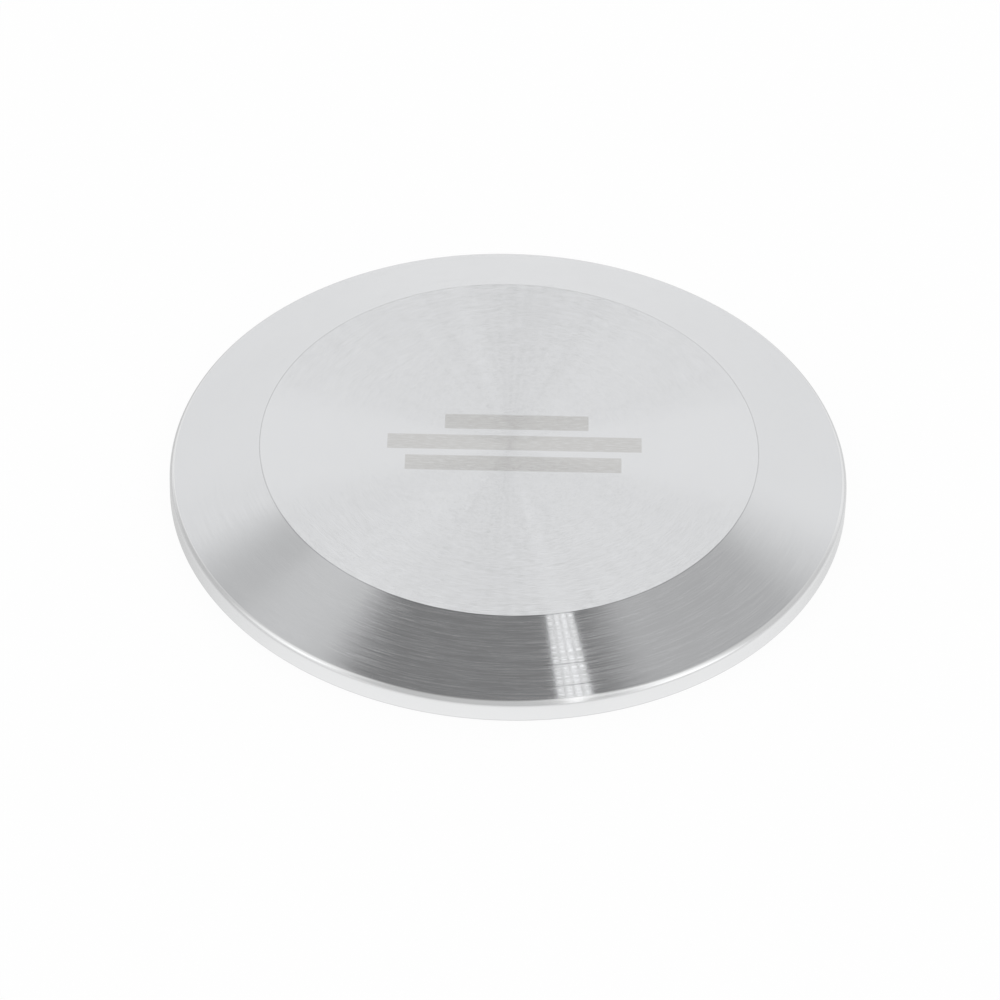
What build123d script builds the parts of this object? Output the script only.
from build123d import *
import os
from math import radians, sqrt, tan

# Solid sanitary clamp end cap for a 2.5 inch hygienic clamp joint. Sizes are in millimetres.
# It is one turned piece, lying on its sealing face. The sealing face is the plane Z = 0 and the
# turning axis is Z, so the origin is the middle of the sealing face. The plain outer face looks up.

# Blank
flange_diameter = 77.4  # over the rim, the size that the clamp and the gasket are made for
overall_height = 6.35  # sealing face to outer face, a quarter of an inch

# Rim and clamp bevel
rim_height = 2.6  # sealing face up to the sharp corner where the rim and the bevel would meet
bevel_angle = 20.0  # degrees, between the bevel and the outer face, to suit the clamp's jaws
rim_shoulder_radius = 0.8  # rounds the corner of rim and bevel, where the clamp's jaws ride on
rim_foot_radius = 0.25  # breaks the corner of rim and sealing face
face_corner_radius = 0.15  # breaks the corner of bevel and outer face

# Gasket groove, a ring of round section that the gasket's bead fills
groove_inset = 3.38  # from the rim in to the middle of the groove
groove_radius = 2.34  # of the round section
groove_depth = 1.57  # below the sealing face, at the middle of the groove
groove_lip_chamfer = 0.15  # breaks both lips of the groove

rim_radius = flange_diameter / 2
face_radius = rim_radius - (overall_height - rim_height) / tan(radians(bevel_angle))
groove_pitch_radius = rim_radius - groove_inset
groove_half_width = sqrt(2 * groove_radius * groove_depth - groove_depth**2)

# Corners of the half section, as distance out from the turning axis and height
rim_foot = (rim_radius, 0)
rim_shoulder = (rim_radius, rim_height)
face_corner = (face_radius, overall_height)
groove_inner_lip = (groove_pitch_radius - groove_half_width, 0)
groove_outer_lip = (groove_pitch_radius + groove_half_width, 0)

corner_radii = {
    rim_foot: rim_foot_radius,
    rim_shoulder: rim_shoulder_radius,
    face_corner: face_corner_radius,
}


def half_section():
    """Half of the cap's section: the blank's outline, less the groove, with every corner broken."""
    with BuildSketch(Plane.XZ) as section:
        with BuildLine():
            Polyline((0, 0), rim_foot, rim_shoulder, face_corner, (0, overall_height), close=True)
        make_face()
        with Locations((groove_pitch_radius, groove_depth - groove_radius)):
            Circle(groove_radius, mode=Mode.SUBTRACT)
        for corner, radius in corner_radii.items():
            fillet(section.vertices().sort_by_distance(corner)[0], radius)
        for lip in (groove_inner_lip, groove_outer_lip):
            chamfer(section.vertices().sort_by_distance(lip)[0], groove_lip_chamfer)
    return section.sketch


def end_cap():
    """The section turned once round Z."""
    cap = revolve(half_section(), axis=Axis.Z)
    cap.label = "end_cap"
    return cap


os.makedirs("parts", exist_ok=True)
export_step(end_cap(), "parts/end_cap.step")
